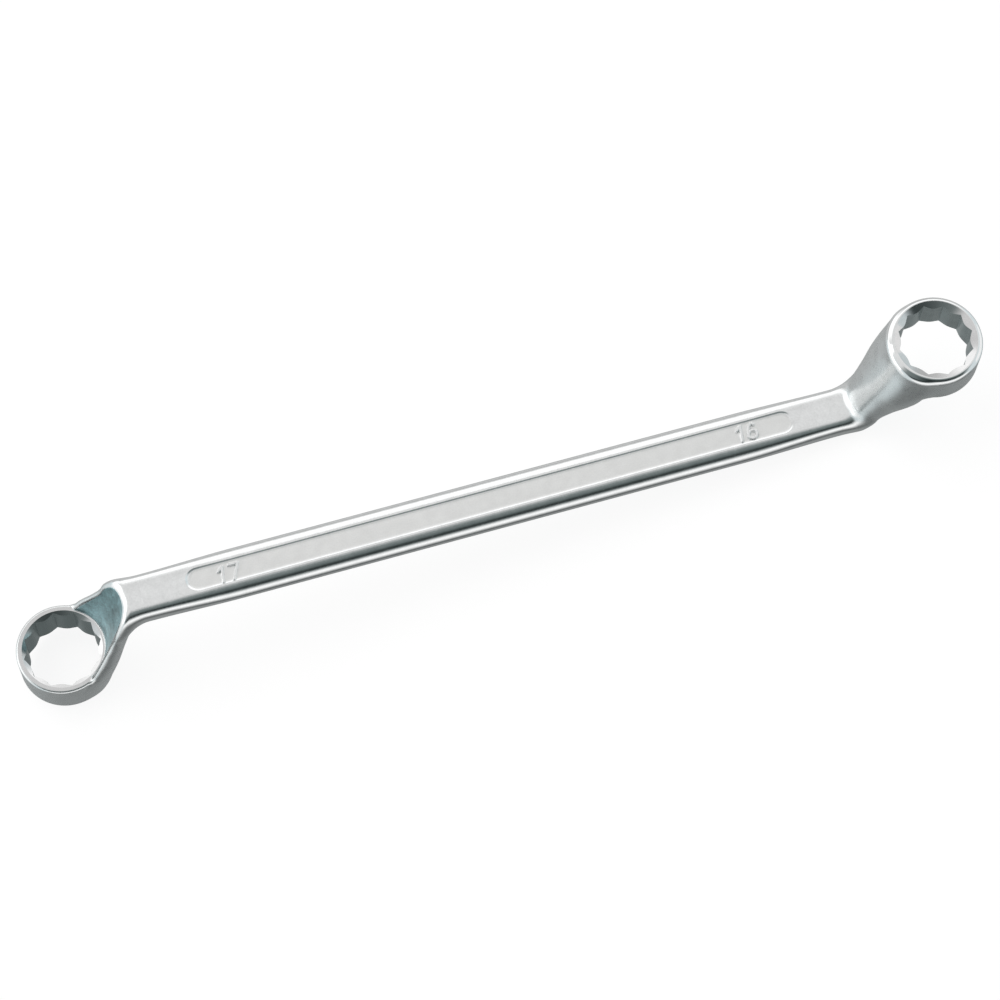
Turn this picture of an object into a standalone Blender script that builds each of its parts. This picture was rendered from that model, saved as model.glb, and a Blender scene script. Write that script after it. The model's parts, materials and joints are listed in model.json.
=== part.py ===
"""Double-ended ring spanner, deep offset, 17 mm and 16 mm, one drop forging.

Design frame: X runs along the shank from the 17 mm end to the 16 mm end, Z is the
axis of both rings, and XZ is the mirror plane.  The 16 mm head rises above the
shank and the 17 mm head hangs below it: the same head, turned half a turn about Y.
One empty carries everything and lays the spanner down as it rests on a bench.
"""
import math

import bmesh
import bpy
from mathutils import Vector

# Jaws: sizes across flats, which are the numbers on the shank
JAW_17 = 0.0170
JAW_16 = 0.0160

# Rings
RING_CENTRES = 0.2226
RING_DEPTH_17 = 0.0118
RING_DEPTH_16 = 0.0097
OPEN_FACE_HEIGHT = 0.0330
SHANK_SIDE_RIM_ROUND = 0.0008

# The open face, from a bore's points outwards: countersink, flat land, sloping rim
LEAD_IN_17 = 0.0004
LEAD_IN_16 = 0.0009
OPEN_LAND = 0.0002
OPEN_RIM_WIDTH = 0.0012
OPEN_RIM_FALL = 0.0009

# The shank side of a bore, the slope of both countersinks, and the lobes between the points
SHANK_SIDE_LEAD_IN = 0.0003
COUNTERSINK_SLOPE = math.radians(30.0)
LOBE_RADIUS = 0.0040

# Shank
SHANK_HALF_WIDTH = 0.0064
SHANK_END_HALF_WIDTH = 0.0058
SHANK_HALF_THICKNESS = 0.0037
WAIST_LENGTH = 0.0250

# Recessed panel on both broad faces of the shank
PANEL_LENGTH = 0.1565
PANEL_WIDTH = 0.0060
PANEL_FLOOR_HEIGHT = 0.0031
PANEL_WALL_FLARE = 0.0002

# Necks
NECK_ANGLE = math.radians(75.0)
CREASE_RADIUS = 0.0040
ELBOW_DEPTH = 0.0090
NECK_DEPTH_AT_RING = 0.0125
ELBOW_HALF_WIDTH_17 = 0.0077
ELBOW_HALF_WIDTH_16 = 0.0071
NECK_SINK = 0.0001
SPOT_FACE_STEP = 0.0012

# The neck and ring of each head are modelled as two solids that meet at a plane
RING_PLANE_INSET = 0.0003

# Overrun of each cutter past what it cuts
OVERRUN = 0.0040

# How squarely the oval sections are filled: 2 is an ellipse
SHANK_SQUARENESS = 2.4
NECK_SQUARENESS = 2.2

# From the elbow to the open face: how far up, how wide, and where the widest line lies
RISE_SHARES = (0.0, 0.25, 0.50, 0.75, 1.0)
WIDTH_SHARES = (0.0, 0.24, 0.60, 0.86, 0.96)
WIDEST_LINE_SHARES = (0.50, 0.58, 0.66, 0.80, 0.92)

# Plate: satin chrome, a little brighter on the shank, with the colours as linear values
SHANK_COLOUR = (0.72, 0.73, 0.72, 1)
NECK_COLOUR = (0.60, 0.62, 0.61, 1)
RING_COLOUR = (0.66, 0.68, 0.67, 1)
SHANK_ROUGHNESS = 0.28
HEAD_ROUGHNESS = 0.22
SHARP_EDGE_ANGLE = math.radians(30.0)

# Facets
SECTION_POINTS = 40
FAN_STEPS = 6
NECK_STEPS = 8
WAIST_STEPS = 4
RING_SEGMENTS = 72
ROUND_STEPS = 3
LOBE_STEPS = 4
PANEL_END_STEPS = 12
POINTS = 12


class Head:
    """The sizes of one end, in its own frame: X out along the shank, Z up to the open face."""

    def __init__(self, size, jaw, lead_in, depth, elbow_half_width, turn):
        self.size = size
        self.jaw = jaw
        self.lead_in = lead_in
        self.point_radius = jaw / math.sqrt(3)
        self.radius = self.point_radius + lead_in + OPEN_LAND + OPEN_RIM_WIDTH
        self.elbow_half_width = elbow_half_width
        self.axis_x = RING_CENTRES / 2
        self.open_z = OPEN_FACE_HEIGHT
        self.shank_side_z = OPEN_FACE_HEIGHT - depth
        self.neck_top_z = OPEN_FACE_HEIGHT - OPEN_RIM_FALL
        neck_top_x = self.axis_x - self.radius + NECK_SINK
        rise = self.neck_top_z - SHANK_HALF_THICKNESS
        crease_x = neck_top_x - rise / math.tan(NECK_ANGLE)
        self.fan_x = crease_x - CREASE_RADIUS * math.tan(NECK_ANGLE / 2)
        self.ring_plane_x = self.axis_x - self.radius + RING_PLANE_INSET
        self.turn = turn


def clear_scene():
    for obj in list(bpy.data.objects):
        bpy.data.objects.remove(obj)


def share_at(position, stops, values):
    """The value at a position between listed stops, along straight spans."""
    for low, high, start, end in zip(stops, stops[1:], values, values[1:]):
        if position <= high:
            return start + (end - start) * (position - low) / (high - low)
    return values[-1]


def ease(share):
    return share * share * (3 - 2 * share)


def signed_power(value, exponent):
    return math.copysign(abs(value) ** exponent, value)


def oval(widest, back_direction, half_width, back, front, squareness):
    """A closed section round its widest line: its back and front may differ in depth."""
    points = []
    for index in range(SECTION_POINTS):
        angle = 2 * math.pi * index / SECTION_POINTS
        across = half_width * signed_power(math.cos(angle), 2 / squareness)
        depth = back if math.sin(angle) > 0 else front
        along = depth * signed_power(math.sin(angle), 2 / squareness)
        points.append(widest + Vector((0, across, 0)) + back_direction * along)
    return points


def shank_section(x, half_width):
    up = Vector((0, 0, 1))
    half_thickness = SHANK_HALF_THICKNESS
    return oval(Vector((x, 0, 0)), up, half_width, half_thickness, half_thickness, SHANK_SQUARENESS)


def new_object(name, mesh_maker, parent):
    """An object whose mesh is filled by mesh_maker, hung from the parent."""
    mesh = bpy.data.meshes.new(name)
    shape = bmesh.new()
    mesh_maker(shape)
    bmesh.ops.recalc_face_normals(shape, faces=shape.faces)
    shape.to_mesh(mesh)
    shape.free()
    obj = bpy.data.objects.new(name, mesh)
    bpy.context.scene.collection.objects.link(obj)
    obj.parent = parent
    return obj


def loft(shape, sections):
    """Skin closed sections with the same number of points, and close both ends."""
    rings = []
    for section in sections:
        rings.append([shape.verts.new(point) for point in section])
    for ring, following in zip(rings, rings[1:]):
        for index in range(len(ring)):
            after = (index + 1) % len(ring)
            shape.faces.new((ring[index], ring[after], following[after], following[index]))
    shape.faces.new(rings[0])
    shape.faces.new(list(reversed(rings[-1])))


def neck_blank(shape, head):
    """The forged neck before it is cut; its skin is twisted, so its faces are made triangles."""
    loft(shape, neck_sections(head))
    bmesh.ops.triangulate(shape, faces=[face for face in shape.faces if len(face.verts) == 4])


def turned(shape, profile, axis_x):
    """A solid turned round the vertical line at axis_x; profile runs from axis to axis."""
    sections = []
    for radius, height in profile:
        if radius > 0:
            sections.append(circle(axis_x, radius, height))
    loft(shape, sections)


def circle(axis_x, radius, height, offset=0.5):
    """Level points round the line at axis_x; the offset turns them by a share of one facet."""
    points = []
    for index in range(RING_SEGMENTS):
        angle = 2 * math.pi * (index + offset) / RING_SEGMENTS
        points.append(Vector((axis_x + radius * math.cos(angle), radius * math.sin(angle), height)))
    return points


def arc(centre_radius, centre_height, radius, start, end):
    """Profile points on an arc, from the angle start to the angle end."""
    points = []
    for step in range(ROUND_STEPS + 1):
        angle = start + (end - start) * step / ROUND_STEPS
        points.append((centre_radius + radius * math.cos(angle), centre_height + radius * math.sin(angle)))
    return points


def neck_sections(head):
    """Sections from the shank's end round the elbow and up the neck, into the ring's wall."""
    sections = []
    thickness = 2 * SHANK_HALF_THICKNESS
    centre = Vector((head.fan_x, 0, SHANK_HALF_THICKNESS + CREASE_RADIUS))
    for step in range(FAN_STEPS + 1):
        share = step / FAN_STEPS
        angle = NECK_ANGLE * share
        outward = Vector((math.sin(angle), 0, -math.cos(angle)))
        straight_underside = (CREASE_RADIUS + thickness) / math.cos(angle) - CREASE_RADIUS
        depth = min(straight_underside, ELBOW_DEPTH)
        half_width = SHANK_END_HALF_WIDTH + (head.elbow_half_width - SHANK_END_HALF_WIDTH) * ease(share)
        squareness = SHANK_SQUARENESS + (NECK_SQUARENESS - SHANK_SQUARENESS) * share
        widest = centre + outward * (CREASE_RADIUS + depth / 2)
        sections.append(oval(widest, -outward, half_width, depth / 2, depth / 2, squareness))
    back_start = centre + outward * CREASE_RADIUS
    up_neck = Vector((math.cos(NECK_ANGLE), 0, math.sin(NECK_ANGLE)))
    length = (head.neck_top_z - back_start.z) / up_neck.z
    for step in range(1, NECK_STEPS + 1):
        rise = step / NECK_STEPS
        sections.append(neck_section(head, back_start + up_neck * length * rise, outward, rise))
    return sections


def neck_section(head, back_point, outward, rise):
    depth = ELBOW_DEPTH + (NECK_DEPTH_AT_RING - ELBOW_DEPTH) * rise
    widening = share_at(rise, RISE_SHARES, WIDTH_SHARES)
    half_width = head.elbow_half_width + (head.radius - head.elbow_half_width) * widening
    back = depth * share_at(rise, RISE_SHARES, WIDEST_LINE_SHARES)
    return oval(back_point + outward * back, -outward, half_width, back, depth - back, NECK_SQUARENESS)


def spot_face_sections(head):
    """The slanted round tool that clears the neck beside the ring, parallel to the neck."""
    sections = []
    for height in (-SHANK_HALF_THICKNESS - OVERRUN, head.shank_side_z + OVERRUN):
        shift = (height - head.shank_side_z) / math.tan(NECK_ANGLE)
        section = circle(head.axis_x, head.radius - SPOT_FACE_STEP, height, offset=0)
        for point in section:
            point.x = head.axis_x + (point.x - head.axis_x) / math.sin(NECK_ANGLE) + shift
        sections.append(section)
    return sections


def eye_profile(head):
    """The forged eye before its bore: a drum, rounded below and sloping to its open face."""
    lower = SHANK_SIDE_RIM_ROUND
    lower_rim = arc(head.radius - lower, head.shank_side_z + lower, lower, -math.pi / 2, 0)
    slope_foot = (head.radius, head.neck_top_z)
    slope_top = (head.radius - OPEN_RIM_WIDTH, head.open_z)
    return lower_rim + [slope_foot, slope_top]


def bore_outline(head):
    """Two crossed hexagons: twelve sharp points with a soft lobe between each pair."""
    half_turn = math.pi / POINTS
    inner_radius = head.jaw / 2 / math.cos(half_turn)
    arc_centre = inner_radius + LOBE_RADIUS / math.cos(half_turn)
    outline = []
    for point in range(POINTS):
        angle = 2 * half_turn * point
        outline.append((head.point_radius, angle))
        middle = angle + half_turn
        for step in range(LOBE_STEPS + 1):
            turn = half_turn * (2 * step / LOBE_STEPS - 1)
            x = arc_centre - LOBE_RADIUS * math.cos(turn)
            y = LOBE_RADIUS * math.sin(turn)
            outline.append((math.hypot(x, y), middle + math.atan2(y, x)))
    return outline


def bore_sections(head):
    sections = []
    for height in (head.shank_side_z - OVERRUN, head.open_z + OVERRUN):
        section = []
        for radius, angle in bore_outline(head):
            x = head.axis_x + radius * math.cos(angle)
            section.append(Vector((x, radius * math.sin(angle), height)))
        sections.append(section)
    return sections


def countersink(head, face_z, width, inward):
    """A turned cutter: a wide cone from the mouth down to inside the bore, straight outside."""
    mouth = head.point_radius + width
    root = head.jaw / 2 - OVERRUN
    depth = (mouth - root) * math.tan(COUNTERSINK_SLOPE)
    return [(root, face_z + inward * depth), (mouth, face_z), (mouth, face_z - inward * OVERRUN)]


def stadium(half_length, half_width, height):
    """A long outline with round ends, level at the given height."""
    points = []
    for end, start in ((1, -math.pi / 2), (-1, math.pi / 2)):
        for step in range(PANEL_END_STEPS + 1):
            angle = start + math.pi * step / PANEL_END_STEPS
            x = end * (half_length - half_width) + half_width * math.cos(angle)
            points.append(Vector((x, half_width * math.sin(angle), height)))
    return points


def panel_sections(side):
    """The recess of one broad face: side is 1 for the upper face and -1 for the lower."""
    sections = []
    for height in (PANEL_FLOOR_HEIGHT, SHANK_HALF_THICKNESS + OVERRUN):
        rise = height - PANEL_FLOOR_HEIGHT
        slope = PANEL_WALL_FLARE / (SHANK_HALF_THICKNESS - PANEL_FLOOR_HEIGHT)
        flare = rise * slope - PANEL_WALL_FLARE
        sections.append(stadium(PANEL_LENGTH / 2 + flare, PANEL_WIDTH / 2 + flare, side * height))
    return sections


def shank_sections(left_x, right_x):
    """The even middle of the shank and the waist towards each neck."""
    stations = []
    for end_x in (left_x, right_x):
        side = math.copysign(1, end_x)
        for step in range(WAIST_STEPS + 1):
            share = step / WAIST_STEPS
            half_width = SHANK_HALF_WIDTH + (SHANK_END_HALF_WIDTH - SHANK_HALF_WIDTH) * ease(share)
            stations.append((end_x - side * WAIST_LENGTH * (1 - share), half_width))
    return [shank_section(x, half_width) for x, half_width in sorted(stations)]


def as_tool(obj):
    """A cutter or guide: seen as wires, never rendered."""
    obj.hide_render = True
    obj.display_type = 'WIRE'
    return obj


def boolean(obj, tool, operation):
    modifier = obj.modifiers.new(operation.title() + " " + tool.name, 'BOOLEAN')
    modifier.operation = operation
    modifier.object = tool
    modifier.solver = 'EXACT'


def region(head, inside):
    """A block on one side of the plane where the neck's solid meets the ring's."""
    reach = head.axis_x + head.radius + OVERRUN
    low_x = head.ring_plane_x if inside else 0
    high_x = reach if inside else head.ring_plane_x
    half_y = head.radius + OVERRUN
    corners = []
    for x in (low_x, high_x):
        section = []
        for y, z in ((-1, -1), (1, -1), (1, 1), (-1, 1)):
            section.append(Vector((x, y * half_y, z * (head.open_z + 2 * OVERRUN))))
        corners.append(section)
    return corners


def finish(obj, colour, roughness):
    """Satin chrome plate over the forging, smooth except at real edges."""
    material = bpy.data.materials.new(obj.name + "_chrome")
    material.use_nodes = True
    shader = material.node_tree.nodes["Principled BSDF"]
    shader.inputs["Base Color"].default_value = colour
    shader.inputs["Metallic"].default_value = 1
    shader.inputs["Roughness"].default_value = roughness
    material.diffuse_color = colour
    obj.data.materials.append(material)
    obj.data.shade_smooth()
    obj.data.set_sharp_from_angle(angle=SHARP_EDGE_ANGLE)


def build_head(head, parent):
    """The neck and the ring of one end, cut by the same tools from the same blanks."""
    frame = bpy.data.objects.new("head_frame_" + head.size, None)
    bpy.context.scene.collection.objects.link(frame)
    frame.parent = parent
    frame.rotation_euler.y = head.turn

    def tool(name, maker):
        return as_tool(new_object(name + "_" + head.size, maker, frame))

    spot_face = tool("spot_face_tool", lambda shape: loft(shape, spot_face_sections(head)))
    eye = tool("eye_blank", lambda shape: turned(shape, eye_profile(head), head.axis_x))
    bore = tool("bore_tool", lambda shape: loft(shape, bore_sections(head)))
    open_sink = countersink(head, head.open_z, head.lead_in, -1)
    shank_sink = countersink(head, head.shank_side_z, SHANK_SIDE_LEAD_IN, 1)
    open_tool = tool("open_mouth_tool", lambda shape: turned(shape, open_sink, head.axis_x))
    shank_tool = tool("shank_side_mouth_tool", lambda shape: turned(shape, shank_sink, head.axis_x))
    for name, inside, colour in (("neck_", False, NECK_COLOUR), ("ring_", True, RING_COLOUR)):
        block = tool(name + "region", lambda shape: loft(shape, region(head, inside)))
        node = new_object(name + head.size, lambda shape: neck_blank(shape, head), frame)
        boolean(node, spot_face, 'DIFFERENCE')
        boolean(node, eye, 'UNION')
        for cutter in (bore, open_tool, shank_tool):
            boolean(node, cutter, 'DIFFERENCE')
        boolean(node, block, 'INTERSECT')
        finish(node, colour, HEAD_ROUGHNESS)


def build_shank(left, right, parent):
    sections = shank_sections(-left.fan_x, right.fan_x)
    shank = new_object("shank", lambda shape: loft(shape, sections), parent)
    for name, side in (("upper", 1), ("lower", -1)):
        cutter = new_object(name + "_panel_tool", lambda shape: loft(shape, panel_sections(side)), parent)
        boolean(shank, as_tool(cutter), 'DIFFERENCE')
    finish(shank, SHANK_COLOUR, SHANK_ROUGHNESS)


def solid_points():
    """Every corner of the finished solids, in world coordinates."""
    graph = bpy.context.evaluated_depsgraph_get()
    points = []
    for obj in bpy.data.objects:
        if obj.type == 'MESH' and not obj.hide_render:
            solid = obj.evaluated_get(graph)
            points += [solid.matrix_world @ vertex.co for vertex in solid.data.vertices]
    return points


def slope(low_side, high_side):
    return (high_side.z - low_side.z) / (high_side.x - low_side.x)


def resting_lean(points):
    """The slope of the line that the spanner stands on, from its left foot to its right toe."""
    left = [point for point in points if point.x < 0]
    right = [point for point in points if point.x > 0]
    foot = min(left, key=lambda point: point.z)
    toe = None
    while True:
        lowest = min(right, key=lambda point: slope(foot, point))
        if lowest is toe:
            return math.atan(slope(foot, toe))
        toe = lowest
        foot = max(left, key=lambda point: slope(point, toe))


def lay_on_bench(carrier):
    """Lean the spanner until it rests on a bench, and centre it over the world's origin."""
    bpy.context.view_layer.update()
    lean = resting_lean(solid_points())
    carrier.rotation_euler.y = lean
    bpy.context.view_layer.update()
    points = solid_points()
    low = Vector([min(point[axis] for point in points) for axis in range(3)])
    high = Vector([max(point[axis] for point in points) for axis in range(3)])
    carrier.location = -Vector(((low.x + high.x) / 2, (low.y + high.y) / 2, low.z))
    bpy.context.view_layer.update()
    print("lean in degrees", round(math.degrees(lean), 3))
    print("size in metres", [round(extent, 5) for extent in high - low])


def main():
    clear_scene()
    carrier = bpy.data.objects.new("resting_pose", None)
    bpy.context.scene.collection.objects.link(carrier)
    right = Head("16", JAW_16, LEAD_IN_16, RING_DEPTH_16, ELBOW_HALF_WIDTH_16, 0)
    left = Head("17", JAW_17, LEAD_IN_17, RING_DEPTH_17, ELBOW_HALF_WIDTH_17, math.pi)
    build_shank(left, right, carrier)
    build_head(left, carrier)
    build_head(right, carrier)
    lay_on_bench(carrier)


main()
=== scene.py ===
# %% [markdown]
# A ring spanner for 16 and 17 mm nuts.
#
# The real tool is one drop forging in chromium-vanadium steel.  It comes out of the dies with its
# oval shank, its cranked necks and its two eyes, then the bores are broached, the faces are turned,
# and the whole is ground smooth and plated with satin chrome.  Nothing on it moves.
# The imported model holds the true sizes.  This file dresses it: it makes the same forging again as
# one flowing skin, with the fillets that a faceted solid can't show, and gives it its finish.

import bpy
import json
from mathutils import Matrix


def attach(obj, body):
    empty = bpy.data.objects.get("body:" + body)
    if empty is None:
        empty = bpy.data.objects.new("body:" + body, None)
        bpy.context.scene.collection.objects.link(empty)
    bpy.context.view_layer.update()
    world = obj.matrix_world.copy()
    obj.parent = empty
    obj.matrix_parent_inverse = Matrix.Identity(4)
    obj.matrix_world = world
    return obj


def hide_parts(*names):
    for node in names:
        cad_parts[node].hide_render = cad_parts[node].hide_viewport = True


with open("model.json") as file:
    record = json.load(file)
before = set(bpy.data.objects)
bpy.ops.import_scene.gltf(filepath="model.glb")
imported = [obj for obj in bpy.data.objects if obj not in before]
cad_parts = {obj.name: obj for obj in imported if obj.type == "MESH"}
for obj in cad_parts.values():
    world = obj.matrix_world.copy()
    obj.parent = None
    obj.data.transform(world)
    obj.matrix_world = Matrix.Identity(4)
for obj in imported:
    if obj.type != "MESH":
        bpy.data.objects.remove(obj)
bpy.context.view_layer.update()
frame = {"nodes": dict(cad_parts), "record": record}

import json
import math

import bpy
import numpy as np
from mathutils import Matrix, Vector

print("solids in the frame:", sorted(frame["nodes"]))

# %% [markdown]
# Sizes come first, in metres, in the spanner's own drawing frame: X runs along the shank from the
# 17 mm end to the 16 mm end, Z is the axis of both rings, and XZ is the mirror plane.
# They could be read off the solids, but a maker works from a drawing, and named sizes let each
# surface below be written as a formula.

# %% Sizes of the forging
RING_CENTRES = 0.2226
OPEN_FACE_HEIGHT = 0.0330
SHANK_HALF_WIDTH = 0.0064
SHANK_END_HALF_WIDTH = 0.0058
SHANK_HALF_THICKNESS = 0.0037
WAIST_LENGTH = 0.0250
NECK_ANGLE = math.radians(75.0)
CREASE_RADIUS = 0.0040
ELBOW_DEPTH = 0.0090
ELBOW_SOFTNESS = 0.0015
NECK_DEPTH_AT_RING = 0.0125
NECK_SINK = 0.0001
NECK_OVERRUN = 0.0030
SHANK_SQUARENESS = 2.4
SHANK_END_SQUARENESS = 3.1
NECK_SQUARENESS = 2.2
print("shank", 2 * SHANK_HALF_WIDTH, "m wide and", 2 * SHANK_HALF_THICKNESS, "m thick")

# %% Sizes of the rings and what is cut into them
OPEN_LAND = 0.0003
OPEN_RIM_WIDTH = 0.0011
OPEN_RIM_FALL = 0.0008
RIM_SOFTNESS = 0.0002
RIM_FOOT_ROUND = 0.0006
SHANK_SIDE_RIM_ROUND = 0.0008
SHANK_SIDE_LEAD_IN = 0.0003
COUNTERSINK_SLOPE = math.tan(math.radians(30.0))
LOBE_RADIUS = 0.0040
POINTS = 12
HOLLOW_STEP = 0.0012
HOLLOW_EDGE_ROUND = 0.0018
RING_BLEND = 0.0016
NECK_FADE_LENGTH = 0.0075
NECK_FADE_DEPTH = 0.0016
HOLLOW_FOOT_BLEND = 0.0004
print("open rims fall", OPEN_RIM_FALL, "m over", OPEN_RIM_WIDTH, "m")

# %% Sizes of the panel and the figures raised in it
PANEL_LENGTH = 0.1565
PANEL_WIDTH = 0.0073
PANEL_FLOOR_HEIGHT = 0.0031
PANEL_WALL_FLARE = 0.0012
PANEL_EDGE_ROUND = 0.0002
PANEL_FOOT_ROUND = 0.0002
FIGURE_HALF_HEIGHT = 0.00195
FIGURE_HALF_WIDTH = 0.00108
FIGURE_STROKE = 0.00048
FIGURE_RISE = 0.00040
FIGURE_DRAFT = 0.55
FIGURE_SOFTNESS = 0.00012
FIGURE_PITCH = 0.0029
FIGURE_LEAN = 0.11
FLAG_SHARE = 0.9
FOOT_OF_7 = 0.2
FIGURE_PLACE_17 = (-0.0673, -0.0005)
FIGURE_PLACE_16 = (0.0657, -0.0001)
print("panel", PANEL_LENGTH, "m long, figures", 2 * FIGURE_HALF_HEIGHT, "m high")

# %% [markdown]
# Each end is the same head with other numbers, so one class holds the sizes of an end and works
# out the rest, such as where the straight shank stops and the bend begins.  The 17 mm head is the
# 16 mm head turned half a turn about Y, so both are described in their own frame, with X pointing
# out along the shank and Z towards the open face.  The three short tables say how a neck widens as
# it rises into its eye, and how far in front of its back line it is widest.

# %% The two ends
RISE_SHARES = (0.0, 0.25, 0.50, 0.75, 1.0)
WIDTH_SHARES = (0.0, 0.24, 0.60, 0.86, 0.96)
WIDEST_LINE_SHARES = (0.50, 0.58, 0.66, 0.80, 0.92)


class End:
    def __init__(self, size, jaw, depth, lead_in, elbow_half_width):
        self.size = size
        self.jaw = jaw
        self.point_radius = jaw / math.sqrt(3)
        self.mouth_radius = self.point_radius + lead_in
        self.radius = self.mouth_radius + OPEN_LAND + OPEN_RIM_WIDTH
        self.axis_x = RING_CENTRES / 2
        self.open_z = OPEN_FACE_HEIGHT
        self.shank_side_z = OPEN_FACE_HEIGHT - depth
        self.elbow_half_width = elbow_half_width
        neck_top_z = self.open_z - OPEN_RIM_FALL
        neck_top_x = self.axis_x - self.radius + NECK_SINK
        rise = neck_top_z - SHANK_HALF_THICKNESS
        crease_x = neck_top_x - rise / math.tan(NECK_ANGLE)
        self.fan_x = crease_x - CREASE_RADIUS * math.tan(NECK_ANGLE / 2)
        bend_rise = CREASE_RADIUS * (1 - math.cos(NECK_ANGLE))
        self.neck_length = (rise - bend_rise) / math.sin(NECK_ANGLE)


END_16 = End("16", 0.0160, 0.0097, 0.0009, 0.0071)
END_17 = End("17", 0.0170, 0.0118, 0.0004, 0.0077)
print("ring radii:", END_16.radius, END_17.radius, "bends start at", END_16.fan_x, -END_17.fan_x)

# %% [markdown]
# The skin is made from distances.  For any point in space a formula says how far outside the
# steel it lies, below zero when it is inside, and the skin is where that distance is nothing.
# The forging could also be lofted and cut with Boolean modifiers, as its solids are, but every
# fillet between two curved walls would then be a bevel on thousands of tiny edges.  With
# distances a fillet is one line: these two helpers join or cross two shapes and round the corner.

# %% Joining and crossing shapes with a fillet
TINY = 1e-9


def joined(one, other, fillet):
    """The distance to two shapes joined, with the inner corner between them filled."""
    corner = np.hypot(np.maximum(fillet - one, 0), np.maximum(fillet - other, 0))
    return np.maximum(fillet, np.minimum(one, other)) - corner


def crossed(one, other, rounding):
    """The distance to what two shapes share, with the outer corner between them rounded."""
    return -joined(-one, -other, rounding)


def ease(share):
    """From 0 to 1 with a level start and a level end."""
    share = np.clip(share, 0, 1)
    return share * share * (3 - 2 * share)


def soft_least(one, other, softness):
    """The smaller of two values, with the change from one to the other smoothed."""
    overlap = np.maximum(softness - np.abs(one - other), 0) / softness
    return np.minimum(one, other) - overlap * overlap * softness / 4


def flowing(position, stops, values):
    """A curve through a short table: level where it starts, and without corners."""
    stops = np.array(stops)
    values = np.array(values)
    slopes = np.gradient(values, stops)
    slopes[0] = 0
    span = np.clip(np.searchsorted(stops, position, side="right") - 1, 0, len(stops) - 2)
    width = stops[span + 1] - stops[span]
    share = np.clip((position - stops[span]) / width, 0, 1)
    eased = ease(share)
    leaving = share * (1 - share) ** 2 * slopes[span] * width
    arriving = share * share * (share - 1) * slopes[span + 1] * width
    return values[span] * (1 - eased) + values[span + 1] * eased + leaving + arriving


print("a fillet of 2 mm, 1 mm from both walls:", joined(0.001, 0.001, 0.002))

# %% [markdown]
# The bar.  Shank, bend and neck are one oval bar that follows a back line: straight, round a
# small arc, and straight again up to the ring.  A point is first told where it lies along that
# line and how deep below it, and is then compared with the oval there.  The oval is a little
# squarer than an ellipse, as forged spanners are, most of all where the shank meets the bend, and
# its widest line moves towards the front as the neck spreads into the eye.

# %% The oval bar
def oval(across, below_back, half_width, back, front, square):
    """Distance to an oval section round its widest line, with its own depth on each side."""
    behind = below_back < back
    half_depth = np.where(behind, back, front)
    deep = np.abs(below_back - back) / half_depth
    wide = np.abs(across) / half_width
    wide_pull = wide ** (square - 1)
    deep_pull = deep ** (square - 1)
    size = np.maximum((wide_pull * wide + deep_pull * deep) ** (1 / square), TINY)
    steepness = size ** (1 - square) * np.hypot(wide_pull / half_width, deep_pull / half_depth)
    return (size - 1) / np.maximum(steepness, TINY)


def waist(before_bend):
    """Half the shank's width, by how far a place lies before the bend."""
    gain = (SHANK_HALF_WIDTH - SHANK_END_HALF_WIDTH) * ease(before_bend / WAIST_LENGTH)
    return SHANK_END_HALF_WIDTH + gain


def squareness(before_bend):
    """How square the shank's oval is: its edges are crisper near the bends."""
    crisp = 1 - ease(before_bend / WAIST_LENGTH)
    return SHANK_SQUARENESS + (SHANK_END_SQUARENESS - SHANK_SQUARENESS) * crisp


def turn_at(end, x, z):
    """How far a place lies round the bend: nothing on the shank, the full angle on the neck."""
    down = SHANK_HALF_THICKNESS + CREASE_RADIUS - z
    return np.clip(np.arctan2(x - end.fan_x, down), 0, NECK_ANGLE)


def bar(end, x, y, z):
    """Distance to the bar from the bend up to the ring."""
    across = x - end.fan_x
    down = SHANK_HALF_THICKNESS + CREASE_RADIUS - z
    turn = turn_at(end, x, z)
    below_back = across * np.sin(turn) + down * np.cos(turn) - CREASE_RADIUS
    along = across * np.cos(turn) - down * np.sin(turn)
    bend = turn / NECK_ANGLE
    rise = np.clip(along / end.neck_length, 0, 1)
    half_width = waist(-along) + (end.elbow_half_width - SHANK_END_HALF_WIDTH) * ease(bend)
    half_width += (end.radius - end.elbow_half_width) * flowing(rise, RISE_SHARES, WIDTH_SHARES)
    straight_underside = (CREASE_RADIUS + 2 * SHANK_HALF_THICKNESS) / np.cos(turn) - CREASE_RADIUS
    depth = soft_least(straight_underside, ELBOW_DEPTH, ELBOW_SOFTNESS)
    depth = depth + (NECK_DEPTH_AT_RING - ELBOW_DEPTH) * rise
    back = depth * flowing(rise, RISE_SHARES, WIDEST_LINE_SHARES)
    square = SHANK_END_SQUARENESS + (NECK_SQUARENESS - SHANK_END_SQUARENESS) * ease(bend)
    skin = oval(y, below_back, half_width, back, depth - back, square)
    return np.maximum(skin, along - end.neck_length - NECK_OVERRUN)


print("half the shank's width 10 mm before a bend:", waist(0.010))

# %% [markdown]
# The head.  On the real tool a slanted milling cutter, parallel to the neck, clears a hollow
# beside the ring so that a nut in a recess can be reached, and the eye keeps a flat face on both
# sides.  Here the cutter is a leaning cylinder taken from the bar with a rounded edge, and the
# eye is a drum that the neck flows into.  The neck sinks a little into the drum as it passes its
# axis, so that no seam shows on the ring's wall.  One cone trims both towards the open face.

# %% The hollow, the eye and the head's blank
def hollow(end, x, y, z):
    """Distance outside the slanted cutter, which leans like the neck."""
    lean = (x - end.axis_x) * math.sin(NECK_ANGLE) - (z - end.shank_side_z) * math.cos(NECK_ANGLE)
    return np.hypot(lean, y) - (end.radius - HOLLOW_STEP)


def eye(end, x, y, z):
    """Distance to the drum round the ring, whose edge on the shank side is rounded."""
    wall = np.hypot(x - end.axis_x, y) - end.radius
    return crossed(wall, end.shank_side_z - z, SHANK_SIDE_RIM_ROUND)


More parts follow.
